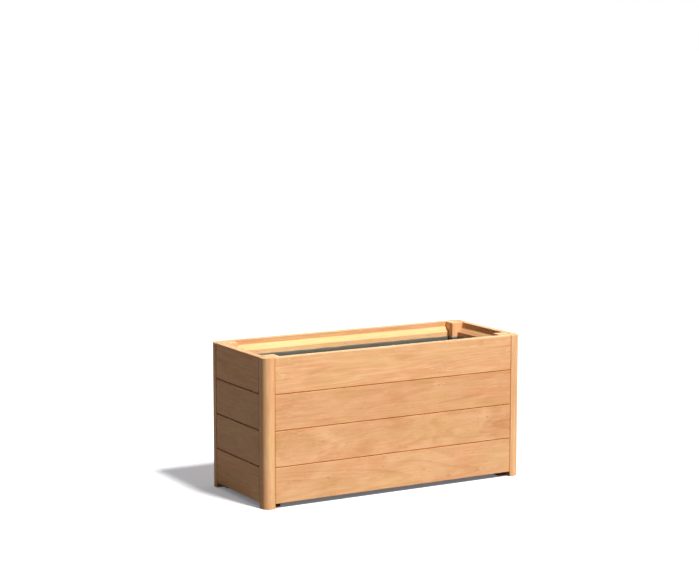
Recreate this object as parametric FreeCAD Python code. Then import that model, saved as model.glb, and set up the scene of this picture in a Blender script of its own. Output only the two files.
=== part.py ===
import FreeCAD, Part
import math
import os

# Trough planter: four walls of tongue-and-groove boards between four rebated corner posts, with a
# bevelled ledge inside the rim, a slatted floor and a fabric liner. Millimetres, +Z up. The origin
# is on the ground under the middle of the box, the long side runs along X and the front faces -Y.

# Whole box
length = 1000.0
depth = 400.0
height = 500.0

# Wall boards
board_rows = 4
board_thickness = 25.0
board_setback = 1.0  # board faces lie this far behind the post faces
board_ease = 1.5  # rounding of the long edges that show
board_end_gap = 1.0  # between a board's end and the shoulder of its rebate
foot_clearance = 17.0  # ground to the lowest boards
shadow_gap = 1.5  # open joint between two board faces
tongue_thickness = 8.0
tongue_height = 8.0
tongue_bevel = 1.0
groove_side_play = 0.4
groove_top_play = 1.0

# Corner posts
post_neck = 13.0  # wood left between the two rebates
post_lap = 31.0  # flange behind the board ends
post_round = 24.0
post_ease = 1.5
post_end_ease = 1.0

# Ledge battens inside the rim
ledge_thickness = 20.0
ledge_height = 45.0
ledge_nose = 28.0  # upright face below the bevel
ledge_drop = 17.0  # rim to the top of the bevel
ledge_ease = 1.0
ledge_play = 0.5  # at each end, to the posts

# Floor: bearers on the lowest boards, slats across them
bearer_width = 25.0
bearer_height = 35.0
bearer_rise = 5.0  # above the lower edge of the lowest boards
bearer_play = 0.5
slat_count = 8
slat_thickness = 18.0
slat_gap = 8.0
slat_play = 2.0
slat_ease = 1.5

# Fabric liner
liner_thickness = 1.5
liner_clearance = 0.3
liner_lap = 13.0  # how far it covers the ledges' upright faces
liner_slope = 60.0  # height over which it widens from the ledges to the boards
liner_fold = 6.0

# Fasteners
board_screw_diameter = 5.0
floor_screw_diameter = 4.0
pin_diameter = 1.8
pin_head_diameter = 2.6
pin_head_height = 1.0
staple_width = 10.0
staple_wire_width = 1.2
staple_wire_thickness = 0.8
staple_bite = 6.0
staple_drop = 6.0  # liner's top edge to the staples
hole_play = 0.1
long_wall_pin_count = 5
end_wall_pin_count = 2
long_wall_staple_count = 7
end_wall_staple_count = 2

# Shares: of the wood that a screw ends in, of its own head, and of the board or batten it holds
bite_share = 0.64
head_share = 2.0
point_share = 1.5
recess_depth_share = 0.3
recess_length_share = 0.6
recess_width_share = 0.14
long_wall_screw_shares = (0.23, 0.47)
end_wall_screw_shares = (0.13, 0.38)
slat_screw_shares = (-0.3, 0.3)
end_slat_screw_shares = (-0.4, 0.0, 0.4)
end_bearer_screw_shares = (-0.25, 0.25)

# Places that follow from the sizes above
cover = (height - foot_clearance) / board_rows
wall_depth = board_setback + board_thickness  # post face to the inner face of the boards
post_face = wall_depth + post_neck
post_size = post_face + post_lap
ledge_top = height - ledge_drop
ledge_bottom = ledge_top - ledge_height
ledge_shoulder = ledge_bottom + ledge_nose
ledge_face = wall_depth + ledge_thickness
bearer_bottom = foot_clearance + bearer_rise
slat_bottom = bearer_bottom + bearer_height
floor_top = slat_bottom + slat_thickness
liner_top = ledge_bottom + liner_lap
slat_field = length - 2 * (post_size + slat_play)  # the slats that fit between the posts
slat_pitch = (slat_field + slat_gap) / slat_count
slat_width = slat_pitch - slat_gap

# The walls, each a quarter turn on from the one before. A wall's own frame has x along the wall,
# y inward and z up, as the front wall stands in the box.
wall_names = ("front", "right", "back", "left")
long_walls = ("front", "back")
full_turn_deg = 360
point_tolerance = 1e-6
outward = FreeCAD.Vector(0, -1, 0)
down = FreeCAD.Vector(0, 0, -1)


def wall_frame(name):
    # The wall's turn about Z, half its outer length, and how far its post faces are from the centre.
    angle = full_turn_deg * wall_names.index(name) / len(wall_names)
    if name in long_walls:
        return angle, length / 2, depth / 2
    return angle, depth / 2, length / 2


def rounded_face(corners):
    # A flat outline of straight sides. Each corner is (x, y, radius), with radius 0 for a sharp one.
    points = [FreeCAD.Vector(x, y, 0) for x, y, radius in corners]
    bends = []
    for i, corner in enumerate(points):
        radius = corners[i][2]
        before = (points[i - 1] - corner).normalize()
        after = (points[(i + 1) % len(points)] - corner).normalize()
        half_angle = before.getAngle(after) / 2
        reach = radius / math.tan(half_angle)
        middle = (before + after).normalize() * (radius / math.sin(half_angle) - radius)
        bends.append((corner + before * reach, corner + middle, corner + after * reach))
    edges = []
    for i, (start, middle, end) in enumerate(bends):
        if not start.isEqual(end, point_tolerance):
            edges.append(Part.Arc(start, middle, end).toShape())
        following = bends[(i + 1) % len(bends)][0]
        if not end.isEqual(following, point_tolerance):
            edges.append(Part.LineSegment(end, following).toShape())
    return Part.Face(Part.Wire(edges))


def bar(corners, half_length):
    # A bar along x with its section given in (y, z). It is extruded along z, and a third of a turn
    # about the diagonal takes x to y, y to z and z to x.
    solid = rounded_face(corners).extrude(FreeCAD.Vector(0, 0, 2 * half_length))
    stand = FreeCAD.Rotation(FreeCAD.Vector(1, 1, 1), full_turn_deg / 3)
    solid.Placement = FreeCAD.Placement(FreeCAD.Vector(-half_length, 0, 0), stand)
    return solid


def turned(shape, angle):
    return shape.rotated(FreeCAD.Vector(0, 0, 0), FreeCAD.Vector(0, 0, 1), angle)


def placed(shape, point, direction):
    # Moves a fastener that was made at the origin, pointing down.
    copy = shape.copy()
    copy.Placement = FreeCAD.Placement(point, FreeCAD.Rotation(down, direction))
    return copy


def spread(count, span):
    # Centres of equal stretches along a span.
    return [(i + 0.5) * span / count - span / 2 for i in range(count)]


def screw(diameter, whole_length, play=0.0):
    # Countersunk wood screw, its head flush with the origin.
    radius = diameter / 2 + play
    head_radius = diameter * head_share / 2 + play
    head_height = head_radius - radius
    point_height = diameter * point_share
    outline = [
        FreeCAD.Vector(0, 0, 0),
        FreeCAD.Vector(head_radius, 0, 0),
        FreeCAD.Vector(radius, 0, -head_height),
        FreeCAD.Vector(radius, 0, -(whole_length - point_height)),
        FreeCAD.Vector(0, 0, -(whole_length + play)),
        FreeCAD.Vector(0, 0, 0),
    ]
    face = Part.Face(Part.makePolygon(outline))
    return face.revolve(FreeCAD.Vector(0, 0, 0), FreeCAD.Vector(0, 0, 1), full_turn_deg)


def drive_recess(diameter):
    # Cross recess in a screw's head.
    head = diameter * head_share
    depth_down = head * recess_depth_share
    long_side = head * recess_length_share
    short_side = head * recess_width_share
    arms = []
    for wide, deep in ((long_side, short_side), (short_side, long_side)):
        low = FreeCAD.Vector(-wide / 2, -deep / 2, -depth_down)
        arms.append(Part.makeBox(wide, deep, depth_down, low))
    return arms[0].fuse(arms[1])


def pin(whole_length, play=0.0):
    # Thin round pin with a small flush head.
    head = Part.makeCylinder(pin_head_diameter / 2 + play, pin_head_height,
                             FreeCAD.Vector(0, 0, 0), down)
    shank = Part.makeCylinder(pin_diameter / 2 + play, whole_length + play,
                              FreeCAD.Vector(0, 0, 0), down)
    return head.fuse(shank).removeSplitter()


def staple_legs(play=0.0):
    # The two legs of a staple, down from the liner's inner face.
    wide = staple_wire_thickness + 2 * play
    deep = staple_wire_width + 2 * play
    reach = liner_thickness + liner_clearance + staple_bite + play
    legs = []
    for side in (-1, 1):
        middle = side * (staple_width - staple_wire_thickness) / 2
        low = FreeCAD.Vector(middle - wide / 2, -deep / 2, -reach)
        legs.append(Part.makeBox(wide, deep, reach, low))
    return legs


def staple():
    low = FreeCAD.Vector(-staple_width / 2, -staple_wire_width / 2, 0)
    crown = Part.makeBox(staple_width, staple_wire_width, staple_wire_thickness, low)
    return crown.multiFuse(staple_legs()).removeSplitter()


def board_section(row, reach):
    # One board's section: a groove below, except in the lowest board, and a tongue above, except
    # in the top one. The shoulder in front of the tongue stays low, which opens the shadow gap.
    low = foot_clearance + row * cover
    high = low + cover
    outer = -reach + board_setback
    inner = outer + board_thickness
    tongue_outer = outer + (board_thickness - tongue_thickness) / 2
    tongue_inner = tongue_outer + tongue_thickness
    section = [(outer, low, board_ease)]
    if row > 0:
        groove_top = low + tongue_height + groove_top_play
        section += [
            (tongue_outer - groove_side_play, low, 0),
            (tongue_outer - groove_side_play, groove_top, 0),
            (tongue_inner + groove_side_play, groove_top, 0),
            (tongue_inner + groove_side_play, low, 0),
        ]
    section.append((inner, low, 0))
    if row == board_rows - 1:
        section += [(inner, high, board_ease), (outer, high, board_ease)]
        return section
    tongue_top = high + tongue_height
    section += [
        (inner, high, 0),
        (tongue_inner, high, 0),
        (tongue_inner, tongue_top - tongue_bevel, 0),
        (tongue_inner - tongue_bevel, tongue_top, 0),
        (tongue_outer + tongue_bevel, tongue_top, 0),
        (tongue_outer, tongue_top - tongue_bevel, 0),
        (tongue_outer, high - shadow_gap, 0),
        (outer, high - shadow_gap, board_ease),
    ]
    return section


def wall_boards(name):
    angle, half_span, reach = wall_frame(name)
    half_length = half_span - post_face - board_end_gap
    return [turned(bar(board_section(row, reach), half_length), angle) for row in range(board_rows)]


def ledge(name):
    # Batten between the posts, its top bevelled towards the inside.
    angle, half_span, reach = wall_frame(name)
    wall = -reach + wall_depth
    nose = wall + ledge_thickness
    section = [
        (wall, ledge_bottom, 0),
        (nose, ledge_bottom, ledge_ease),
        (nose, ledge_shoulder, ledge_ease),
        (wall, ledge_top, 0),
    ]
    return turned(bar(section, half_span - post_size - ledge_play), angle)


def slab_section(near, far, low, high, ease):
    return [(near, low, ease), (far, low, ease), (far, high, ease), (near, high, ease)]


def bearer(name):
    angle, half_span, reach = wall_frame(name)
    wall = -reach + wall_depth
    section = slab_section(wall, wall + bearer_width, bearer_bottom, slat_bottom, 0)
    return turned(bar(section, half_span - post_size - bearer_play), angle)


def floor_slat(index):
    # A slat lies across the box, so it is made in the right wall's frame and turned with it.
    angle = wall_frame("right")[0]
    near = -slat_field / 2 + index * slat_pitch
    section = slab_section(near, near + slat_width, slat_bottom, floor_top, slat_ease)
    return turned(bar(section, depth / 2 - wall_depth - slat_play), angle)


def end_slat(name):
    # The narrow slat that closes the floor between two posts.
    angle, half_span, reach = wall_frame(name)
    near = -reach + wall_depth + slat_play
    far = -slat_field / 2 - slat_gap
    section = slab_section(near, far, slat_bottom, floor_top, slat_ease)
    return turned(bar(section, half_span - post_size - slat_play), angle)


def post(side_x, side_y):
    # Outer corner rounded, a rebate on both inner sides for the board ends.
    rounding = min(post_round, post_face - post_ease)
    section = [
        (0, 0, rounding),
        (post_face, 0, post_ease),
        (post_face, wall_depth, 0),
        (post_size, wall_depth, 0),
        (post_size, post_size, post_ease),
        (wall_depth, post_size, 0),
        (wall_depth, post_face, 0),
        (0, post_face, post_ease),
    ]
    corners = [
        (side_x * (length / 2 - across), side_y * (depth / 2 - inside), radius)
        for across, inside, radius in section
    ]
    solid = rounded_face(corners).extrude(FreeCAD.Vector(0, 0, height))
    ends = [edge for edge in solid.Edges if edge.BoundBox.ZLength < point_tolerance]
    return solid.makeFillet(post_end_ease, ends)


def liner_outline(wall, inset):
    # The room inside four wall faces, less the four posts, drawn in by inset.
    half_length = length / 2 - wall - inset
    half_depth = depth / 2 - wall - inset
    post_x = length / 2 - post_size - inset
    post_y = depth / 2 - post_size - inset
    fold = max(liner_fold - inset, 0)
    round_post = post_ease + inset
    corner = [(half_length, post_y, fold), (post_x, post_y, round_post), (post_x, half_depth, fold)]
    outline = []
    for side_x, side_y in ((1, 1), (-1, 1), (-1, -1), (1, -1)):
        points = [(side_x * x, side_y * y, radius) for x, y, radius in corner]
        outline += points if side_x == side_y else points[::-1]
    return rounded_face(outline)


def lifted(shape, level):
    return shape.translated(FreeCAD.Vector(0, 0, level))


def liner_body(inset, bottom):
    # Against the boards below, sloping in under the ledges, and upright on the ledges' faces.
    slope_bottom = ledge_bottom - liner_slope
    wide = liner_outline(wall_depth, inset)
    narrow = liner_outline(ledge_face, inset)
    lower = lifted(wide, bottom).extrude(FreeCAD.Vector(0, 0, slope_bottom - bottom))
    upper = lifted(narrow, ledge_bottom).extrude(FreeCAD.Vector(0, 0, liner_lap))
    rims = [lifted(wide, slope_bottom).OuterWire, lifted(narrow, ledge_bottom).OuterWire]
    return lower.multiFuse([Part.makeLoft(rims, True, True), upper]).removeSplitter()


def liner():
    # Open bag of fabric that lies on the floor slats, against the boards and round the posts, and
    # hangs from the ledges.
    bottom = floor_top + liner_clearance
    outside = liner_body(liner_clearance, bottom)
    inside = liner_body(liner_clearance + liner_thickness, bottom + liner_thickness)
    return outside.cut(inside)


def wall_places(name, places, direction=outward):
    # Turns points of a wall's frame, and the way that a fastener points there, into the box's frame.
    turn = FreeCAD.Rotation(FreeCAD.Vector(0, 0, 1), wall_frame(name)[0])
    return [(turn.multVec(point), turn.multVec(direction)) for point in places]


def board_screw_places(name):
    # Through the post's flange into the board end, from inside. The screws of the two walls that
    # meet in a post are at different heights and pass each other.
    angle, half_span, reach = wall_frame(name)
    shares = long_wall_screw_shares if name in long_walls else end_wall_screw_shares
    across = half_span - post_face - post_lap / 2
    places = [
        FreeCAD.Vector(side * across, -reach + post_size, foot_clearance + (row + share) * cover)
        for side in (-1, 1)
        for row in range(board_rows)
        for share in shares
    ]
    return wall_places(name, places)


def pin_places(name):
    # Along the ledge's upright face, above the liner.
    angle, half_span, reach = wall_frame(name)
    count = long_wall_pin_count if name in long_walls else end_wall_pin_count
    face = -reach + ledge_face
    middle = (liner_top + ledge_shoulder) / 2
    span = 2 * (half_span - post_size)
    return wall_places(name, [FreeCAD.Vector(x, face, middle) for x in spread(count, span)])


def bearer_screw_places(name):
    # On the long walls between two slats, so that they miss the slats' own screws.
    angle, half_span, reach = wall_frame(name)
    face = -reach + wall_depth + bearer_width
    middle = bearer_bottom + bearer_height / 2
    span = 2 * (half_span - post_size)
    along = [share * span for share in end_bearer_screw_shares]
    if name in long_walls:
        along = [(gap - slat_count / 2) * slat_pitch for gap in range(1, slat_count, 2)]
    return wall_places(name, [FreeCAD.Vector(x, face, middle) for x in along])


def slat_screw_places(name):
    # On the bearers' middle line.
    angle, half_span, reach = wall_frame(name)
    line = -reach + wall_depth + bearer_width / 2
    along = [share * 2 * (half_span - post_size) for share in end_slat_screw_shares]
    if name in long_walls:
        middles = [(index + 0.5 - slat_count / 2) * slat_pitch for index in range(slat_count)]
        along = [middle + share * slat_width for middle in middles for share in slat_screw_shares]
    return wall_places(name, [FreeCAD.Vector(x, line, floor_top) for x in along], down)


def staple_places(name):
    # A row into the ledge, and one staple in each post's face beside it.
    angle, half_span, reach = wall_frame(name)
    count = long_wall_staple_count if name in long_walls else end_wall_staple_count
    level = liner_top - staple_drop
    skin = liner_clearance + liner_thickness
    along = half_span - post_size
    beside = along + (post_size - ledge_face) / 2
    places = [FreeCAD.Vector(x, -reach + ledge_face + skin, level) for x in spread(count, 2 * along)]
    places += [FreeCAD.Vector(side * beside, -reach + post_size + skin, level) for side in (-1, 1)]
    return wall_places(name, places)


def all_places(places_of):
    return [place for name in wall_names for place in places_of(name)]


def fastener_groups():
    # Each group: node name, the fastener, the hole that it needs, and where its copies go.
    flange = post_size - wall_depth
    board_bite = board_thickness * bite_share
    board_length = flange + board_bite
    bearer_length = bearer_width + board_bite
    slat_length = slat_thickness + bearer_height * bite_share
    pin_length = ledge_thickness + board_bite
    board_screw = screw(board_screw_diameter, board_length).cut(drive_recess(board_screw_diameter))
    floor_recess = drive_recess(floor_screw_diameter)
    groups = []
    for name in wall_names:
        hole = screw(board_screw_diameter, board_length, hole_play)
        groups.append(("board_screws_" + name, board_screw, [hole], board_screw_places(name)))
    for node, whole_length, places_of in (
        ("bearer_screws", bearer_length, bearer_screw_places),
        ("slat_screws", slat_length, slat_screw_places),
    ):
        solid = screw(floor_screw_diameter, whole_length).cut(floor_recess)
        hole = screw(floor_screw_diameter, whole_length, hole_play)
        groups.append((node, solid, [hole], all_places(places_of)))
    groups.append(("ledge_pins", pin(pin_length), [pin(pin_length, hole_play)], all_places(pin_places)))
    groups.append(("liner_staples", staple(), staple_legs(hole_play), all_places(staple_places)))
    return groups


def drilled(solid, holes):
    near = [hole for hole in holes if hole.BoundBox.intersect(solid.BoundBox)]
    return solid.cut(near) if near else solid


def wooden_parts():
    parts = {}
    for side_y, depth_name in ((-1, "front"), (1, "back")):
        for side_x, side_name in ((-1, "left"), (1, "right")):
            parts["post_" + depth_name + "_" + side_name] = post(side_x, side_y)
    for name in wall_names:
        for row, board in enumerate(wall_boards(name)):
            parts[name + "_board_" + str(row + 1)] = board
        parts[name + "_ledge"] = ledge(name)
        parts[name + "_bearer"] = bearer(name)
    for index in range(slat_count):
        parts["floor_slat_" + str(index + 1)] = floor_slat(index)
    for name in ("left", "right"):
        parts[name + "_end_slat"] = end_slat(name)
    return parts


def planter():
    nodes = {}
    holes = []
    staple_holes = []
    for node, fastener, cutters, places in fastener_groups():
        nodes[node] = Part.makeCompound([placed(fastener, *place) for place in places])
        made = [placed(cutter, *place) for place in places for cutter in cutters]
        holes += made
        if node == "liner_staples":
            staple_holes = made
    for node, solid in wooden_parts().items():
        nodes[node] = drilled(solid, holes)
    nodes["liner"] = drilled(liner(), staple_holes)
    return nodes


os.makedirs("parts", exist_ok=True)
for node, shape in planter().items():
    print(node, len(shape.Solids), "valid" if shape.isValid() else "not valid")
    shape.exportStep("parts/" + node + ".step")
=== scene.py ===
import math
import random

import bmesh
import bpy
import numpy as np
from mathutils import Matrix, Vector, noise


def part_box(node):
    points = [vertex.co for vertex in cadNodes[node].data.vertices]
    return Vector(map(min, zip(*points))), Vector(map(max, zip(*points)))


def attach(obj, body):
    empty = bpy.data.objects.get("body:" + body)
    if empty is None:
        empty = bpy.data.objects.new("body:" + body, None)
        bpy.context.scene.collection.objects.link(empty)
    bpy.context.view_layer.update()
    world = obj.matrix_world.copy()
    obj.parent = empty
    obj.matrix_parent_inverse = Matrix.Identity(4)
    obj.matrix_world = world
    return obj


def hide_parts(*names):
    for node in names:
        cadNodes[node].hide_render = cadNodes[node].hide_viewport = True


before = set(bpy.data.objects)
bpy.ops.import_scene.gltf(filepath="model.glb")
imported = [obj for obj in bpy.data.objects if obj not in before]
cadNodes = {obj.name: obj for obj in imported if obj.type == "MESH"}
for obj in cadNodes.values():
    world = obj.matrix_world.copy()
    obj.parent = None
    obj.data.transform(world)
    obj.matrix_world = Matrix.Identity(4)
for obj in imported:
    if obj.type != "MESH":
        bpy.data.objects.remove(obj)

# Wooden trough planter. Metres, +Z up; the long side runs along X and the front wall faces -Y.
scene = bpy.context.scene
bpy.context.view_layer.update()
wallNames = ("front", "right", "back", "left")  # each a quarter turn on from the one before
up = Vector((0, 0, 1))
print("frame loaded:", len(cadNodes), "nodes")


# Camera, at the photo's own angle and distance
cameraView = {
    "place": (-3.2194, -5.5354, 1.5516),
    "turnDeg": (82.139, 0, -29.635),
    "lensMm": 97.31,
    "sensorMm": 36,
}


def makeCamera():
    cameraData = bpy.data.cameras.new("camera")
    cameraData.lens = cameraView["lensMm"]
    cameraData.sensor_width = cameraView["sensorMm"]
    camera = bpy.data.objects.new("camera", cameraData)
    camera.location = cameraView["place"]
    camera.rotation_euler = [math.radians(angle) for angle in cameraView["turnDeg"]]
    scene.collection.objects.link(camera)
    scene.camera = camera


makeCamera()
print("camera set")


# Short ways to write shader nodes
def setOrLink(tree, socket, value):
    if isinstance(value, bpy.types.NodeSocket):
        tree.links.new(value, socket)
    else:
        socket.default_value = value


def addNode(tree, kind, inputs, **settings):
    node = tree.nodes.new("ShaderNode" + kind)
    for name, value in settings.items():
        setattr(node, name, value)
    for name, value in inputs.items():
        setOrLink(tree, node.inputs[name], value)
    return node


def calc(tree, operation, *values):
    return addNode(tree, "Math", dict(enumerate(values)), operation=operation).outputs[0]


def blended(tree, parts, weights):
    # Adds up the parts that have a weight, each times its weight
    total = 0.0
    for name, weight in weights.items():
        total = calc(tree, "MULTIPLY_ADD", parts[name], weight, total)
    return total


def vectorCalc(tree, operation, *values):
    node = addNode(tree, "VectorMath", dict(enumerate(values)), operation=operation)
    return node.outputs["Value" if operation in ("LENGTH", "DOT_PRODUCT") else "Vector"]


def noiseAt(tree, point, stretch, detail=2.0, distortion=0.0, apart=(0, 0, 0)):
    # stretch says how many times a metre the pattern changes along each direction, and apart moves
    # it away from the other patterns
    moved = vectorCalc(tree, "ADD", point, apart)
    stretched = vectorCalc(tree, "MULTIPLY", moved, stretch)
    inputs = {"Vector": stretched, "Scale": 1, "Detail": detail, "Distortion": distortion}
    return addNode(tree, "TexNoise", inputs).outputs


def ramp(tree, value, low, high, toLow=0.0, toHigh=1.0):
    inputs = {"Value": value, "From Min": low, "From Max": high, "To Min": toLow, "To Max": toHigh}
    return addNode(tree, "MapRange", inputs, interpolation_type="SMOOTHSTEP").outputs["Result"]


def mixColour(tree, factor, first, second, blend="MIX"):
    inputs = {0: factor, 6: first, 7: second}
    return addNode(tree, "Mix", inputs, data_type="RGBA", blend_type=blend).outputs[2]


def stained(tree, factor, colour, multiplier):
    # The colour times the multiplier where the factor is 1; it carries real stains and painted shade alike
    return mixColour(tree, factor, colour, mixColour(tree, 1.0, colour, multiplier, "MULTIPLY"))


def newMaterial(name):
    material = bpy.data.materials.new(name)
    material.use_nodes = True
    material.node_tree.nodes.clear()
    return material, material.node_tree


def finishMaterial(tree, shader):
    addNode(tree, "OutputMaterial", {"Surface": shader.outputs[0]})


def dress(obj, material):
    obj.data.materials.clear()
    obj.data.materials.append(material)


# Wood. Point is in a piece's own space: x along the grain, y through the piece, z across it.
woodInputs = {
    "Point": (0, 0, 0),
    "Shift": (0, 0, 0),  # which part of the timber the piece was cut from
    "Pith": (0, 0.08, 0),  # the tree's middle, beside the piece
    "Lean": (0, 0, 0),  # how the pith leans away along the piece
    "Ring": 0.005,
    "Figure": 0.3,
    "Streaks": 0.5,
    "Clouds": 0.5,
    "Flecks": 0.3,
    "Specks": 0.0,
    "Light": (0.9, 0.5, 0.25, 1),
    "Dark": (0.6, 0.26, 0.1, 1),
    "KnotA": (9, 0, 0),
    "SizeA": 0.005,
    "KnotB": (9, 0, 0),
    "SizeB": 0.005,
    "SeamA": 9.0,  # where the next board begins, across the grain
    "SeamB": 9.0,
    "End": 9.0,  # where the board meets the post, along the grain
    "Joint": (0.97, 0.7, 0.43, 1),  # the wood's colour is multiplied by this beside a joint, partly dirt and partly painted shade of the groove
    "Spread": 0.003,  # how far that reaches
}
woodOutputs = {"Colour": "NodeSocketColor", "Roughness": "NodeSocketFloat", "Height": "NodeSocketFloat"}


def socketKind(value):
    if isinstance(value, (int, float)):
        return "NodeSocketFloat"
    return "NodeSocketColor" if len(value) == 4 else "NodeSocketVector"


# Each pattern's changes a metre are given along the grain, through the piece and across it
woodPatterns = {
    "wave": {"stretch": (1.1, 7, 7)},
    "ripple": {"stretch": (9, 60, 60)},
    "streak": {"stretch": (6, 120, 120), "detail": 4, "distortion": 0.8},
    "fibre": {"stretch": (14, 1300, 1300)},
    "cloud": {"stretch": (7, 17, 17), "detail": 3, "distortion": 0.8},
    "patch": {"stretch": (3.3, 19, 19), "detail": 1},  # where the flecks gather
    "fleck": {"stretch": (42, 250, 250), "detail": 1, "distortion": 0.8, "apart": (3.1, 1.7, 2.3)},
    "pore": {"stretch": (60, 520, 520), "detail": 1, "apart": (5.3, 2.9, 0.7)},
    "speck": {"stretch": (32, 190, 190), "detail": 1, "distortion": 0.7, "apart": (7.7, 0.4, 4.1)},
    "hue": {"stretch": (4, 22, 22), "distortion": 0.5, "apart": (1.3, 8.1, 5.9)},
}
ringShape = {
    "wave": (0, 0.05, 0.05),  # how far the rings wander through and across the piece, in metres
    "ripple": (0, 0.004, 0.004),
    "unevenPace": 0.31,  # how fast wide and narrow years take turns, a ring
    "uneven": 2.2,  # how far wide and narrow years move a ring, in rings
    "late": (0.2, 0.88),  # late wood darkens over this share of a ring
    "end": (0.9, 1.0),  # and stops here, where the next year begins
    "palest": 0.35,  # late wood of the weakest year
}
knotShape = {
    "along": 0.45,  # the grain bends over a longer way along than across
    "reach": 2.4,  # how far the grain bends, in knot sizes
    "push": 1.6,
    "edge": (0.55, 1.15),  # from knot to clear wood, in knot sizes
    "depth": 0.5,
    "multiplier": (0.5, 0.3, 0.18, 1),
}
# Between which values of its pattern each mark fades in
markLevels = {
    "patch": (0.42, 0.62),
    "fleck": (0.6, 0.72),
    "pore": (0.63, 0.75),
    "speck": (0.66, 0.77),
    "ruddy": (0.5, 0.68),
    "sallow": (0.5, 0.34),  # towards the low values
}
woodFinish = {
    "tone": {"base": 0.13, "fibre": 0.3, "pore": 0.16},
    "roughness": {"base": 0.475, "late": -0.1, "fibre": 0.25},
    "height": {"fibre": 0.5, "late": 0.35, "pore": -0.5, "streak": 0.6},
    "ruddy": (1.01, 0.95, 0.93, 1),
    "sallow": (0.99, 1.025, 0.97, 1),
    "jointEdge": 0.0012,
}


def knotField(tree, point, place, size):
    # How far the grain is pushed aside round a knot, and the knot itself
    away = vectorCalc(tree, "MULTIPLY", vectorCalc(tree, "SUBTRACT", point, place), (1, 0, 1))
    bend = vectorCalc(tree, "LENGTH", vectorCalc(tree, "MULTIPLY", away, (knotShape["along"], 0, 1)))
    reach = calc(tree, "DIVIDE", bend, calc(tree, "MULTIPLY", size, knotShape["reach"]))
    fade = calc(tree, "EXPONENT", calc(tree, "MULTIPLY", calc(tree, "POWER", reach, 2.0), -1.0))
    push = calc(tree, "MULTIPLY", fade, calc(tree, "MULTIPLY", size, knotShape["push"]))
    near = calc(tree, "DIVIDE", vectorCalc(tree, "LENGTH", away), size)
    return push, ramp(tree, near, *knotShape["edge"], 1, 0)


def wandering(tree, pattern, reach):
    # A pattern's colour as a push to either side
    return vectorCalc(tree, "MULTIPLY", vectorCalc(tree, "SUBTRACT", pattern, (0.5, 0.5, 0.5)), reach)


def lateWood(tree, point, given, pattern):
    # Growth rings round the leaning pith, drawn wavy along the grain: 1 in the darkest late wood.
    # The knots come back with them, as they push the rings aside.
    along = addNode(tree, "SeparateXYZ", {0: point}).outputs[0]
    lean = vectorCalc(tree, "SCALE", given["Lean"])
    tree.links.new(along, lean.node.inputs["Scale"])
    centre = vectorCalc(tree, "ADD", given["Pith"], lean)
    cross = vectorCalc(tree, "SUBTRACT", point, centre)
    for name in ("wave", "ripple"):
        cross = vectorCalc(tree, "ADD", cross, wandering(tree, pattern[name]["Color"], ringShape[name]))
    radius = vectorCalc(tree, "LENGTH", vectorCalc(tree, "MULTIPLY", cross, (0, 1, 1)))
    knots = []
    for letter in "AB":
        push, knot = knotField(tree, point, given["Knot" + letter], given["Size" + letter])
        radius = calc(tree, "ADD", radius, push)
        knots.append(knot)
    count = calc(tree, "DIVIDE", radius, given["Ring"])
    pace = {"W": calc(tree, "MULTIPLY", count, ringShape["unevenPace"]), "Scale": 1}
    uneven = addNode(tree, "TexNoise", pace, noise_dimensions="1D").outputs["Fac"]
    count = calc(tree, "MULTIPLY_ADD", uneven, ringShape["uneven"], count)
    phase = calc(tree, "FRACT", count)
    year = addNode(tree, "TexWhiteNoise", {"W": calc(tree, "FLOOR", count)}, noise_dimensions="1D")
    darkening, ending = ramp(tree, phase, *ringShape["late"]), ramp(tree, phase, *ringShape["end"], 1, 0)
    strength = ramp(tree, year.outputs["Value"], 0, 1, ringShape["palest"], 1)
    return calc(tree, "MULTIPLY", calc(tree, "MULTIPLY", darkening, ending), strength), knots


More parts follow.
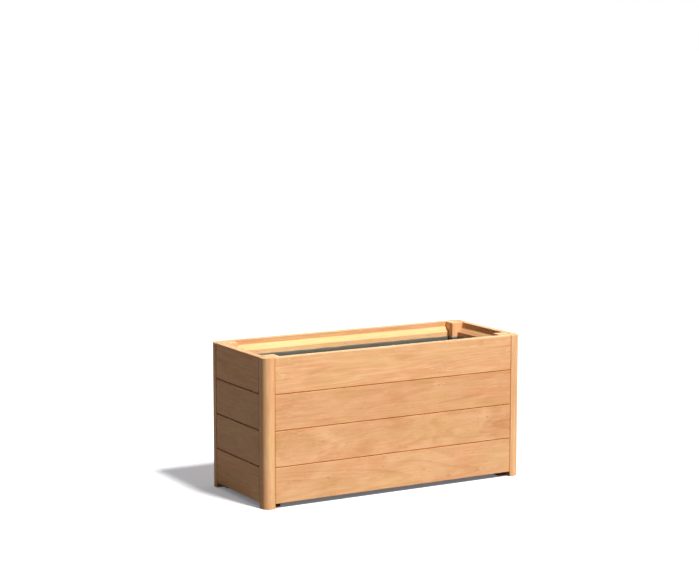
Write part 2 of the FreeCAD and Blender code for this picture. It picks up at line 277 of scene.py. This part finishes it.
def makeWoodGroup():
    tree = bpy.data.node_groups.new("plankWood", "ShaderNodeTree")
    for name, value in woodInputs.items():
        socket = tree.interface.new_socket(name=name, in_out="INPUT", socket_type=socketKind(value))
        socket.default_value = value
    for name, kind in woodOutputs.items():
        tree.interface.new_socket(name=name, in_out="OUTPUT", socket_type=kind)
    given = tree.nodes.new("NodeGroupInput").outputs
    point = given["Point"]
    inTree = vectorCalc(tree, "ADD", point, given["Shift"])
    pattern = {name: noiseAt(tree, inTree, **settings) for name, settings in woodPatterns.items()}
    late, knots = lateWood(tree, point, given, pattern)
    patch, fleck, pore, speck = (
        ramp(tree, pattern[name]["Fac"], *markLevels[name]) for name in ("patch", "fleck", "pore", "speck"))
    fleck = calc(tree, "MULTIPLY", fleck, patch)
    speck = calc(tree, "MULTIPLY", speck, given["Specks"])
    streak, fibre, cloud, hue = (pattern[name]["Fac"] for name in ("streak", "fibre", "cloud", "hue"))
    parts = {"base": 1.0, "late": late, "fibre": fibre, "pore": pore, "streak": streak}

    # One tone from light to dark; a fleck is lighter than the wood round it
    tone = blended(tree, parts, woodFinish["tone"])
    tone = calc(tree, "MULTIPLY_ADD", late, given["Figure"], tone)
    for figure, amount in ((streak, given["Streaks"]), (cloud, given["Clouds"])):
        tone = calc(tree, "MULTIPLY_ADD", ramp(tree, figure, 0.25, 0.75, -0.5, 0.5), amount, tone)
    tone = calc(tree, "SUBTRACT", tone, calc(tree, "MULTIPLY", fleck, given["Flecks"]))
    tone = calc(tree, "MINIMUM", calc(tree, "MAXIMUM", tone, 0.0), 1.0)
    colour = mixColour(tree, tone, given["Light"], given["Dark"])
    for name in ("ruddy", "sallow"):
        colour = stained(tree, ramp(tree, hue, *markLevels[name]), colour, woodFinish[name])
    knot = calc(tree, "MAXIMUM", calc(tree, "MAXIMUM", *knots), speck)
    colour = stained(tree, calc(tree, "MULTIPLY", knot, knotShape["depth"]), colour, knotShape["multiplier"])
    along, through, across = addNode(tree, "SeparateXYZ", {0: point}).outputs
    # Beside a joint the colour is darkened: partly dirt, partly painted shade of the groove
    toSeam = calc(tree, "MINIMUM", *(
        calc(tree, "ABSOLUTE", calc(tree, "SUBTRACT", across, given[side])) for side in ("SeamA", "SeamB")))
    toEnd = calc(tree, "SUBTRACT", given["End"], calc(tree, "ABSOLUTE", along))
    toJoint = calc(tree, "MINIMUM", toSeam, toEnd)
    inJoint = ramp(tree, toJoint, woodFinish["jointEdge"], given["Spread"], 1, 0)
    colour = stained(tree, inJoint, colour, given["Joint"])
    roughness = blended(tree, parts, woodFinish["roughness"])
    height = blended(tree, parts, woodFinish["height"])
    result = tree.nodes.new("NodeGroupOutput").inputs
    for name, value in (("Colour", colour), ("Roughness", roughness), ("Height", height)):
        tree.links.new(value, result[name])
    return tree


woodGroup = makeWoodGroup()


def grainFrame(along, through):
    # The turn that lays a piece's own x along the grain and its y through the piece
    along, through = Vector(along), Vector(through)
    return Matrix((along, through, along.cross(through))).transposed().to_euler()


timber = {
    "light": (0.93, 0.52, 0.265),
    "dark": (0.66, 0.29, 0.11),
    "paintedTopShade": (0.8, 0.86, 0.79, 1),  # faces turned up get painted shade, as the sun lights them more; sawn ends drink more of the finish
    "sawn": (0.84, 0.77, 0.6, 1),
    "paintedTopShadeTurn": (0.5, 0.97),  # from where to where a face counts as turned up
    "sawnTurn": (0.8, 0.95),
    # Painted shade: the joints of the left wall, which lies in shade, are darkened more and further
    "shadedJoint": {"Joint": (0.3, 0.18, 0.08, 1), "Spread": 0.0045},
    "gloss": 0.12,
    "bump": {"Strength": 0.35, "Distance": 0.0004},
    "Shift": 9,  # far enough apart that no two pieces look cut from one place
    "pithDepth": (0.05, 0.13),
    "pithAside": (-0.05, 0.05),
    "lean": 0.05,
    "Ring": (0.0035, 0.0065),
    "Figure": (0.15, 0.3),
    "Streaks": (0.25, 0.45),
    "Clouds": (0.2, 0.45),
    "Flecks": (0.25, 0.5),
    "Specks": (0.0, 0.0, 0.6),  # one piece in three has some
    "shades": (0.95, 1.05),
    "warmths": (0.98, 1.05),
    # Ledges: a paler wood, and painted light that makes up for their dimmer place inside the box
    "_ledge": {"shade": 1.27, "warmth": 1.01},
    "post": {"shade": 1.11, "warmth": 0.98},
}


# Painted shade on the sides of a post's foot where they are set back under the boards, which keep the light
# off them
footPaintedShade = {
    "multiplier": (0.28, 0.23, 0.2, 1),
    "corner": (0.0005, 0.002),  # it fades out over these stretches
    "sole": (0, 0.0015),
    "boards": 0.001,
}


def shadedFoot(tree, place, colour):
    boards = (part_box("right_board_1")[0].x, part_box("back_board_1")[0].y)
    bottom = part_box("front_board_1")[0].z
    parts = addNode(tree, "SeparateXYZ", {0: vectorCalc(tree, "ABSOLUTE", place)}).outputs
    beyond = calc(tree, "MAXIMUM", *(calc(tree, "SUBTRACT", parts[axis], boards[axis]) for axis in (0, 1)))
    setBack = ramp(tree, beyond, *footPaintedShade["corner"], 1, 0)
    aboveSole = ramp(tree, parts[2], *footPaintedShade["sole"])
    belowBoards = ramp(tree, parts[2], bottom - footPaintedShade["boards"], bottom, 1, 0)
    inFootShade = calc(tree, "MULTIPLY", setBack, calc(tree, "MULTIPLY", aboveSole, belowBoards))
    return stained(tree, inFootShade, colour, footPaintedShade["multiplier"])


def woodMaterial(node, along, through, look):
    low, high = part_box(node)
    material, tree = newMaterial("wood_" + node)
    place = addNode(tree, "TexCoord", {}).outputs["Object"]
    mapping = {"Vector": place, "Location": (low + high) / 2, "Rotation": grainFrame(along, through)}
    point = addNode(tree, "Mapping", mapping, vector_type="TEXTURE").outputs[0]
    grain = addNode(tree, "Group", {}, node_tree=woodGroup)
    for name, value in {"Point": point, **look}.items():
        setOrLink(tree, grain.inputs[name], value)
    planed = grain.outputs["Colour"]
    facing = addNode(tree, "TexCoord", {}).outputs["Normal"]
    # Painted shade: faces turned up are darkened, as the sun lights them more
    paintedTopShade = ramp(tree, vectorCalc(tree, "DOT_PRODUCT", facing, up), *timber["paintedTopShadeTurn"])
    colour = stained(tree, paintedTopShade, planed, timber["paintedTopShade"])
    endOn = calc(tree, "ABSOLUTE", vectorCalc(tree, "DOT_PRODUCT", facing, along))
    sawn = ramp(tree, endOn, *timber["sawnTurn"])
    colour = mixColour(tree, sawn, colour, mixColour(tree, 1.0, planed, timber["sawn"], "MULTIPLY"))
    # Painted shade on the posts' feet under the boards
    if node.startswith("post_"):
        colour = shadedFoot(tree, place, colour)
    bump = {"Height": grain.outputs["Height"], **timber["bump"]}
    finish = {
        "Base Color": colour,
        "Roughness": grain.outputs["Roughness"],
        "Normal": addNode(tree, "Bump", bump).outputs["Normal"],
        "Specular IOR Level": timber["gloss"],
    }
    finishMaterial(tree, addNode(tree, "BsdfPrincipled", finish))
    dress(cadNodes[node], material)


def tinted(colour, brightness, warmth):
    # warmth above 1 turns the colour towards orange, below 1 towards yellow
    red, green, blue = colour
    return (min(red * brightness, 0.99), green * brightness / warmth, blue * brightness / warmth**1.6, 1)


# Pieces with a shade, figure and knots (along, up) of their own; board 1 is the lowest
ownLooks = {
    "front_board_1": {
        "shade": 1.0, "warmth": 0.98, "Clouds": 0.38, "Streaks": 0.22, "Flecks": 0.2, "Specks": 0.8,
        "knotA": (0.354, -0.038), "sizeA": 0.003, "knotB": (-0.11, -0.03), "sizeB": 0.002,
    },
    "front_board_2": {
        "shade": 0.985, "warmth": 1.0, "Clouds": 0.68, "Streaks": 0.2, "Flecks": 0.3,
        "knotA": (0.364, 0.02), "sizeA": 0.0038, "knotB": (0.324, 0.018), "sizeB": 0.0026,
    },
    "front_board_3": {
        "shade": 0.97, "warmth": 1.02, "Clouds": 0.36, "Streaks": 0.34, "Flecks": 0.55,
        "knotA": (0.166, 0.03), "sizeA": 0.0032, "knotB": (0.193, -0.006), "sizeB": 0.0028,
    },
    "front_board_4": {"shade": 1.07, "warmth": 0.98, "Clouds": 0.34, "Streaks": 0.42, "Flecks": 0.65},
    "left_board_1": {"shade": 1.06},
    "left_board_2": {"shade": 0.93},
    "left_board_3": {"shade": 0.9},
    "left_board_4": {"shade": 0.95},
    "back_board_4": {"shade": 0.97, "warmth": 0.99},
    "right_ledge": {"shade": 0.94, "warmth": 1.0},
}


def plankLook(seed, given=None):
    given = given or {}
    chance = random.Random(seed)
    shade = given.get("shade", chance.uniform(*timber["shades"]))
    warmth = given.get("warmth", chance.uniform(*timber["warmths"]))
    look = {
        "Shift": [chance.uniform(-timber["Shift"], timber["Shift"]) for axis in range(3)],
        "Pith": (0, chance.uniform(*timber["pithDepth"]), chance.uniform(*timber["pithAside"])),
        "Lean": (0, chance.uniform(-1, 1) * timber["lean"], chance.uniform(-1, 1) * timber["lean"]),
        "Light": tinted(timber["light"], shade, warmth),
        "Dark": tinted(timber["dark"], shade, warmth),
    }
    for name in ("Ring", "Figure", "Streaks", "Clouds", "Flecks"):
        look[name] = given.get(name, chance.uniform(*timber[name]))
    look["Specks"] = given.get("Specks", chance.choice(timber["Specks"]))
    for letter in "AB":
        if "knot" + letter in given:
            along, across = given["knot" + letter]
            look["Knot" + letter] = (along, 0, across)
            look["Size" + letter] = given["size" + letter]
    return look


def dressWood():
    seed = 11  # counts on from piece to piece, so that each has its own figure
    for turn, wall in enumerate(wallNames):
        angle = math.radians(90 * turn)
        along = (math.cos(angle), math.sin(angle), 0)
        inward = (-math.sin(angle), math.cos(angle), 0)
        for row in (1, 2, 3, 4):
            seed += 1
            node = wall + "_board_" + str(row)
            look = plankLook(seed, ownLooks.get(node))
            low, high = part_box(node)
            middle = (low.z + high.z) / 2
            if row > 1:
                look["SeamA"] = low.z - middle
            if row < 4:
                look["SeamB"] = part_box(wall + "_board_" + str(row + 1))[0].z - middle
            look["End"] = max(high - low) / 2
            # Painted shade in the joints of the shaded left wall
            if wall == "left":
                look.update(timber["shadedJoint"])
            woodMaterial(node, along, inward, look)
        for part in ("_ledge", "_bearer"):
            seed += 1
            node = wall + part
            woodMaterial(node, along, inward, plankLook(seed, ownLooks.get(node, timber.get(part))))
    for node in cadNodes:
        if node.startswith("post_"):
            seed += 1
            woodMaterial(node, up, (0, 1, 0), plankLook(seed, timber["post"]))
        elif "slat" in node and not node.endswith("screws"):
            seed += 1
            woodMaterial(node, (0, 1, 0), up, plankLook(seed))


dressWood()
print("wood dressed")


# Zinc-plated steel for the screws, pins and staples
steelLook = {
    "bright": (0.36, 0.36, 0.35, 1),
    "dull": (0.22, 0.22, 0.21, 1),
    "spangle": (420, 420, 420),
    "tarnish": {"stretch": (150, 150, 150), "detail": 4},
    "bump": {"Strength": 0.2, "Distance": 0.0001},
}


def steelMaterial():
    material, tree = newMaterial("zincSteel")
    place = addNode(tree, "TexCoord", {}).outputs["Object"]
    spangled = {"Vector": vectorCalc(tree, "MULTIPLY", place, steelLook["spangle"]), "Scale": 1}
    cells = addNode(tree, "TexVoronoi", spangled).outputs["Distance"]
    tarnish = noiseAt(tree, place, **steelLook["tarnish"])["Fac"]
    colour = mixColour(tree, ramp(tree, tarnish, 0.35, 0.65), steelLook["bright"], steelLook["dull"])
    roughness = ramp(tree, cells, 0, 0.8, 0.3, 0.5)
    normal = addNode(tree, "Bump", {"Height": tarnish, **steelLook["bump"]}).outputs["Normal"]
    finish = {"Base Color": colour, "Metallic": 1.0, "Roughness": roughness, "Normal": normal}
    finishMaterial(tree, addNode(tree, "BsdfPrincipled", finish))
    return material


zincSteel = steelMaterial()
for node in cadNodes:
    if any(kind in node for kind in ("screws", "pins", "staples")):
        dress(cadNodes[node], zincSteel)
print("metal dressed")


# Fabric liner: a soft bag that is stapled to the ledges and posts and lies on the floor slats
linerCloth = {
    "square": 0.013,  # mesh squares
    "fine": 0.004,  # finer lines beside the corners that it bends round
    "offWood": 0.0011,  # from the middle of the cloth to the wood
    "thick": 0.0012,
    "slope": 0.06,  # height over which it is cut to widen from the ledges to the boards
    "spare": 1.008,  # the cloth is this much larger than the room for it
    "pinReach": 0.009,  # how far from a staple it is held
    "pinnedHem": 0.001,  # the top edge is held all along
    "dip": 0.002,  # how far it sinks between two slats
    "dipSide": 0.0064,  # and how far to each side of the gap
    "ruffle": 0.002,  # unevenness that it starts with
    "ruffles": 23,  # a metre
    "seed": 7,
}
clothMotion = {
    "steps": 110,
    "passes": 12,
    "easings": 5,
    "pull": (0, 0, -0.0002),  # gravity, in metres a step
    "press": 0.0001,  # how hard it is pressed against the boards
    "pressFrom": 0.12,  # only this far from the middle
    "kept": 0.9,  # of the speed, from step to step
    "gain": 1.7,  # makes up for the links that share a point
    "thread": 1.0,  # how firmly each kind of link holds
    "diagonal": 0.35,
    "fold": 0.06,
}


def cutLines(low, high, marks, square):
    # Lines from low to high through every mark, about one square apart
    stops = sorted({low, high, *(mark for mark in marks if low < mark < high)})
    lines = [low]
    for start, end in zip(stops, stops[1:]):
        parts = max(1, round((end - start) / square))
        lines += [start + (end - start) * (i + 1) / parts for i in range(parts)]
    return lines


def linerRoom():
    # Half sizes of the room between the boards, the ledges and the posts, less the cloth's own gap
    off = linerCloth["offWood"]
    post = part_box("post_back_right")[0]
    return {
        "boards": np.array((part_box("right_board_4")[0].x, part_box("back_board_4")[0].y)) - off,
        "ledges": np.array((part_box("right_ledge")[0].x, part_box("back_ledge")[0].y)) - off,
        "posts": np.array((post.x, post.y)) - off,
        "bottom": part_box("floor_slat_1")[1].z + off,
        "under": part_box("back_ledge")[0].z - off,
        "top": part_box("liner")[1].z,
    }


def slatGaps():
    # Where the cloth spans from one floor slat to the next
    slats = [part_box(node) for node in cadNodes if node.startswith("floor_slat")]
    slats.sort(key=lambda box: box[0].x)
    return [(left[1].x + right[0].x) / 2 for left, right in zip(slats, slats[1:])]


def narrowBag(bag, room):
    # Brings the walls in from the boards to the ledges, over the height of the slope
    for vert in bag.verts:
        rise = min(1, max(0, 1 - (room["under"] - vert.co.z) / linerCloth["slope"]))
        for axis in (0, 1):
            post, board, ledge = (room[part][axis] for part in ("posts", "boards", "ledges"))
            beyond = abs(vert.co[axis]) - post
            if beyond > 0:
                narrowed = post + beyond * (1 - rise * (board - ledge) / (board - post))
                vert.co[axis] = math.copysign(narrowed, vert.co[axis])


def bagShape(room):
    # The bag as a grid: a floor less the four post corners, and walls standing on its border
    square, fine = linerCloth["square"], linerCloth["fine"]
    (halfX, halfY), (postX, postY) = room["boards"], room["posts"]
    gapMarks = [gap + side * linerCloth["dipSide"] for gap in slatGaps() for side in (-1, 0, 1)]
    bends = []
    for half, post in ((halfX, postX), (halfY, postY)):
        places = (post - fine, post, post + fine, half - fine)
        bends.append([side * place for side in (-1, 1) for place in places])
    xLines = cutLines(-halfX, halfX, bends[0] + gapMarks, square)
    yLines = cutLines(-halfY, halfY, bends[1], square)
    bag = bmesh.new()
    grid = [[bag.verts.new((x, y, room["bottom"])) for y in yLines] for x in xLines]
    for i in range(len(xLines) - 1):
        for j in range(len(yLines) - 1):
            middleX = abs(xLines[i] + xLines[i + 1]) / 2
            middleY = abs(yLines[j] + yLines[j + 1]) / 2
            if middleX < postX or middleY < postY:
                bag.faces.new((grid[i][j], grid[i + 1][j], grid[i + 1][j + 1], grid[i][j + 1]))
    bmesh.ops.delete(bag, geom=[vert for vert in bag.verts if not vert.link_faces], context="VERTS")
    border = [edge for edge in bag.edges if edge.is_boundary]
    under = room["under"]
    marks = (room["bottom"] + fine, under - linerCloth["slope"], under - fine, under, under + fine)
    levels = cutLines(room["bottom"], room["top"], marks, square)
    for level in levels[1:]:
        made = bmesh.ops.extrude_edge_only(bag, edges=border)["geom"]
        raised = {vert for vert in made if isinstance(vert, bmesh.types.BMVert)}
        for vert in raised:
            vert.co.z = level
        made = [edge for edge in made if isinstance(edge, bmesh.types.BMEdge)]
        border = [edge for edge in made if raised.issuperset(edge.verts)]
    narrowBag(bag, room)
    bmesh.ops.recalc_face_normals(bag, faces=bag.faces)
    # Points, links and faces keep a fixed order, so that the cloth hangs the same each time
    for i, vert in enumerate(sorted(bag.verts, key=lambda vert: tuple(vert.co))):
        vert.index = i
    bag.verts.sort()
    bag.edges.index_update()
    return bag


def pieceCentres(node):
    # The middle of each separate solid in a node
    solids = bmesh.new()
    solids.from_mesh(cadNodes[node].data)
    bmesh.ops.remove_doubles(solids, verts=solids.verts, dist=1e-6)
    centres, seen = [], set()
    for first in solids.verts:
        if first in seen:
            continue
        island, waiting = [], [first]
        seen.add(first)
        while waiting:
            vert = waiting.pop()
            island.append(vert.co)
            for link in vert.link_edges:
                other = link.other_vert(vert)
                if other not in seen:
                    seen.add(other)
                    waiting.append(other)
        island = np.array(island)
        centres.append((island.min(0) + island.max(0)) / 2)
    solids.free()
    return np.array(centres)


def keepInside(points, room):
    # Off the boards and slats, out of the posts, and past or under the ledges
    flat = np.abs(points[:, :2])
    sign = np.where(points[:, :2] < 0, -1.0, 1.0)
    flat = np.minimum(flat, room["boards"])
    level = np.clip(points[:, 2], room["bottom"], room["top"])
    beyond = flat - room["ledges"]
    for axis in (0, 1):
        along = flat[:, 1 - axis] < room["posts"][1 - axis]
        inLedge = along & (beyond[:, axis] > 0) & (level > room["under"])
        sink = inLedge & (level - room["under"] < beyond[:, axis])
        level[sink] = room["under"]
        flat[inLedge & ~sink, axis] = room["ledges"][axis]
    into = flat - room["posts"]
    inPost = (into > 0).all(1)
    for axis in (0, 1):
        push = inPost & (into[:, axis] <= into[:, 1 - axis])
        flat[push, axis] = room["posts"][axis]
    return np.column_stack((flat * sign, level))


def clothLinks(bag):
    # Pairs of points that the cloth keeps at their distance, and how firmly: threads, the two
    # diagonals of each square, and points two squares apart, which resist folding
    thread, diagonal, fold = (clothMotion[name] for name in ("thread", "diagonal", "fold"))
    pairs = [(edge.verts[0].index, edge.verts[1].index, thread) for edge in bag.edges]
    for face in bag.faces:
        a, b, c, d = (vert.index for vert in face.verts)
        pairs += [(a, c, diagonal), (b, d, diagonal)]
    for vert in bag.verts:
        for first in vert.link_edges:
            for second in vert.link_edges:
                if first.index < second.index and not set(first.link_faces) & set(second.link_faces):
                    pairs.append((first.other_vert(vert).index, second.other_vert(vert).index, fold))
    return np.array(sorted((min(pair[:2]), max(pair[:2]), pair[2]) for pair in pairs))


def facesInOrder(bag):
    # Each face as the numbers of its corners, from the lowest on
    faces = []
    for face in bag.faces:
        corners = [vert.index for vert in face.verts]
        start = corners.index(min(corners))
        faces.append(corners[start:] + corners[:start])
    return sorted(faces)


def summed(first, second, ontoFirst, ontoSecond, count):
    # For each point, the sum of what its links bring to it
    return np.column_stack([
        np.bincount(first, ontoFirst[:, axis], count) + np.bincount(second, ontoSecond[:, axis], count)
        for axis in range(3)
    ])


def hangCloth(points, pairs, pinned, outward, room):
    # Small steps under gravity, each followed by passes that bring the links back to their length
    count = len(points)
    first, second = pairs[:, 0].astype(int), pairs[:, 1].astype(int)
    rest = np.linalg.norm(points[first] - points[second], axis=1) * linerCloth["spare"]
    share = np.bincount(first, minlength=count) + np.bincount(second, minlength=count)
    free = (clothMotion["gain"] / share * ~pinned)[:, None]
    held = points[pinned].copy()
    speed = np.zeros_like(points)
    pull = np.array(clothMotion["pull"]) + outward * clothMotion["press"]
    for step in range(clothMotion["steps"]):
        before = points.copy()
        points = points + speed + pull
        points[pinned] = held
        for again in range(clothMotion["passes"]):
            apart = points[second] - points[first]
            length = np.maximum(np.linalg.norm(apart, axis=1), 1e-9)
            move = apart * ((1 - rest / length) * 0.5 * pairs[:, 2])[:, None]
            points = keepInside(points + summed(first, second, move, -move, count) * free, room)
            points[pinned] = held
        speed = (points - before) * clothMotion["kept"]

    # Needled cloth is too stiff for sharp creases, so each point is eased towards its neighbours
    threads = pairs[:, 2] == clothMotion["thread"]
    first, second = first[threads], second[threads]
    links = (np.bincount(first, minlength=count) + np.bincount(second, minlength=count))[:, None]
    for again in range(clothMotion["easings"]):
        middle = summed(first, second, points[second], points[first], count) / links
        points = keepInside(points + (middle - points) * 0.5 * ~pinned[:, None], room)
    return points


def applied(obj):
    # The object's mesh with its modifiers worked in
    graph = bpy.context.evaluated_depsgraph_get()
    mesh = bpy.data.meshes.new_from_object(obj.evaluated_get(graph))
    obj.modifiers.clear()
    return mesh


def hungPoints(shape, room):
    # Where the cloth's points come to rest, from the shape that it was cut and sewn to
    points = np.array([vert.co for vert in shape.verts])
    fromStaple = np.linalg.norm(points[:, None] - pieceCentres("liner_staples")[None], axis=2).min(1)
    pinned = (fromStaple < linerCloth["pinReach"]) | (points[:, 2] > room["top"] - linerCloth["pinnedHem"])
    wall = points[:, 2:] > room["bottom"] + 1e-4
    outward = np.where(wall, np.sign(points) * (np.abs(points) > clothMotion["pressFrom"]), 0.0)
    outward[:, 2] = 0
    noise.seed_set(linerCloth["seed"])  # noise_vector follows the clock without one
    ruffle = np.array([noise.noise_vector(Vector(point) * linerCloth["ruffles"]) for point in points])
    start = keepInside(points + ruffle * linerCloth["ruffle"], room)
    return hangCloth(start, clothLinks(shape), pinned, outward, room)


def settled(points, room):
    # Smoothing rounds the folds, so the cloth is brought off the wood again, and sinks between slats
    points = keepInside(points, room)
    lying = points[:, 2] < room["bottom"] + linerCloth["dip"]
    fromGap = np.abs(points[:, :1] - np.array(slatGaps())).min(1) / linerCloth["dipSide"]
    points[:, 2] -= lying * np.clip(1 - fromGap, 0, 1) * linerCloth["dip"]
    return points


def makeLiner():
    room = linerRoom()
    shape = bagShape(room)
    points = hungPoints(shape, room)
    mesh = bpy.data.meshes.new("liner_cloth")
    mesh.from_pydata(points, [], facesInOrder(shape))
    shape.free()
    bag = bpy.data.objects.new("liner_cloth", mesh)
    scene.collection.objects.link(bag)
    bag.modifiers.new("smooth", "SUBSURF").levels = 1
    bag.data = applied(bag)
    points = np.zeros(len(bag.data.vertices) * 3)
    bag.data.vertices.foreach_get("co", points)
    points = settled(points.reshape(-1, 3), room)
    bag.data.vertices.foreach_set("co", points.ravel())
    bag.data.shade_smooth()
    thick = bag.modifiers.new("thick", "SOLIDIFY")
    thick.thickness = linerCloth["thick"]
    thick.offset = 0
    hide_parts("liner")
    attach(bag, "root")
    # Cut as a cross: the bag's floor and its four walls, with the corner squares left out
    return bag


linerBag = makeLiner()
print("liner hung:", len(linerBag.data.vertices), "points")


# The liner's felt: needled fibres with a faint pressed pattern
feltLook = {
    "pale": (0.19, 0.182, 0.142, 1),
    "deep": (0.116, 0.111, 0.086, 1),
    "pressed": 420,  # pressed dots a metre
    "fibre": {"stretch": (900, 900, 900), "detail": 4, "distortion": 1.5},
    "cloud": {"stretch": (14, 14, 14), "detail": 3},
    "tone": {"fibre": 0.7, "cloud": 0.6},
    "height": {"fibre": 0.8, "dots": 0.4},
    "bump": {"Strength": 0.5, "Distance": 0.0006},
    "finish": {"Specular IOR Level": 0.2, "Sheen Weight": 0.15, "Sheen Roughness": 0.6},
}


def feltMaterial():
    material, tree = newMaterial("linerFelt")
    place = addNode(tree, "TexCoord", {}).outputs["Object"]
    fibre = noiseAt(tree, place, **feltLook["fibre"])["Fac"]
    cloud = noiseAt(tree, place, **feltLook["cloud"])["Fac"]
    dots = addNode(tree, "TexVoronoi", {"Vector": place, "Scale": feltLook["pressed"], "Randomness": 0.25})
    dots = ramp(tree, dots.outputs["Distance"], 0.1, 0.45)
    parts = {"fibre": fibre, "cloud": cloud, "dots": dots}
    tone = ramp(tree, blended(tree, parts, feltLook["tone"]), 0.35, 0.95)
    height = blended(tree, parts, feltLook["height"])
    finish = {
        "Base Color": mixColour(tree, tone, feltLook["deep"], feltLook["pale"]),
        "Roughness": ramp(tree, fibre, 0.3, 0.7, 0.85, 0.95),
        "Normal": addNode(tree, "Bump", {"Height": height, **feltLook["bump"]}).outputs["Normal"],
        **feltLook["finish"],
    }
    finishMaterial(tree, addNode(tree, "BsdfPrincipled", finish))
    return material


dress(linerBag, feltMaterial())
print("liner dressed")


# Light: one sun from the front right, a dim sky, and a soft fill behind for the box alone
lightPlan = {
    "sunTravel": (-0.159, 0.536, -0.829),
    "sunStrength": 4.8,
    "sunSpreadDeg": 9,
    "skyColour": (1.0, 0.97, 0.93, 1),
    "skyStrength": 0.15,
    "fillTravel": (-0.55, -0.83, 0),
    "fillStrength": 1.5,
    "fillSpreadDeg": 40,
}


def addSun(name, travel, strength, spreadDeg):
    sunData = bpy.data.lights.new(name, "SUN")
    sunData.energy = strength
    sunData.angle = math.radians(spreadDeg)
    sun = bpy.data.objects.new(name, sunData)
    sun.rotation_mode = "QUATERNION"
    sun.rotation_quaternion = Vector(travel).to_track_quat("-Z", "Y")
    scene.collection.objects.link(sun)
    return sun


def seenRay(tree):
    # 1 for rays that show the background: straight to the camera, mirrored, or through glass
    path = addNode(tree, "LightPath", {}).outputs
    seen = calc(tree, "MAXIMUM", path["Is Camera Ray"], path["Is Glossy Ray"])
    return calc(tree, "MAXIMUM", seen, path["Is Transmission Ray"])


def makeWorld():
    world = bpy.data.worlds.new("studio")
    world.use_nodes = True
    tree = world.node_tree
    tree.nodes.clear()
    white = addNode(tree, "Background", {"Color": (1, 1, 1, 1), "Strength": 1.0})
    sky = addNode(tree, "Background", {"Color": lightPlan["skyColour"], "Strength": lightPlan["skyStrength"]})
    both = addNode(tree, "MixShader", {0: seenRay(tree), 1: sky.outputs[0], 2: white.outputs[0]})
    addNode(tree, "OutputWorld", {"Surface": both.outputs[0]})
    scene.world = world


# Floor, white where the sun meets it
floorPlan = {
    "halfSize": 60,
    "sink": 0.0001,  # keeps it apart from the soles of the posts
    "seenColour": (0.9, 0.9, 0.9, 1),
    "glowNear": 0.145,  # what is left of the sky's light close under and beside the box
    "glowOpen": 0.31,
    "nearReach": 0.28,
    "nearRays": 8,
    "glowColour": (0.89, 0.92, 1.0, 1),
    "bounceColour": (0.09, 0.09, 0.09, 1),
}


def makeFloor():
    half = floorPlan["halfSize"]
    sunk = -floorPlan["sink"]
    corners = [(-half, -half, sunk), (half, -half, sunk), (half, half, sunk), (-half, half, sunk)]
    mesh = bpy.data.meshes.new("floor")
    mesh.from_pydata(corners, [], [(0, 1, 2, 3)])
    floor = bpy.data.objects.new("floor", mesh)
    scene.collection.objects.link(floor)
    material, tree = newMaterial("studioFloor")
    matt = addNode(tree, "BsdfDiffuse", {"Color": floorPlan["seenColour"]})
    nearness = {"Distance": floorPlan["nearReach"]}
    clear = addNode(tree, "AmbientOcclusion", nearness, samples=floorPlan["nearRays"]).outputs["AO"]
    strength = ramp(tree, clear, 0, 1, floorPlan["glowNear"], floorPlan["glowOpen"])
    glow = addNode(tree, "Emission", {"Color": floorPlan["glowColour"], "Strength": strength})
    seen = addNode(tree, "AddShader", {0: matt.outputs[0], 1: glow.outputs[0]})
    bounce = addNode(tree, "BsdfDiffuse", {"Color": floorPlan["bounceColour"]})
    both = addNode(tree, "MixShader", {0: seenRay(tree), 1: bounce.outputs[0], 2: seen.outputs[0]})
    finishMaterial(tree, both)
    dress(floor, material)


def makeFill():
    # Meant for the box alone, so that the floor keeps its one shadow
    lit = bpy.data.collections.new("box_pieces")
    for obj in (*cadNodes.values(), linerBag):
        lit.objects.link(obj)
    fill = addSun("fill", lightPlan["fillTravel"], lightPlan["fillStrength"], lightPlan["fillSpreadDeg"])
    fill.light_linking.receiver_collection = lit


makeWorld()
makeFloor()
addSun("sun", lightPlan["sunTravel"], lightPlan["sunStrength"], lightPlan["sunSpreadDeg"])
makeFill()
print("light and floor set")

scene.view_settings.view_transform = "Standard"
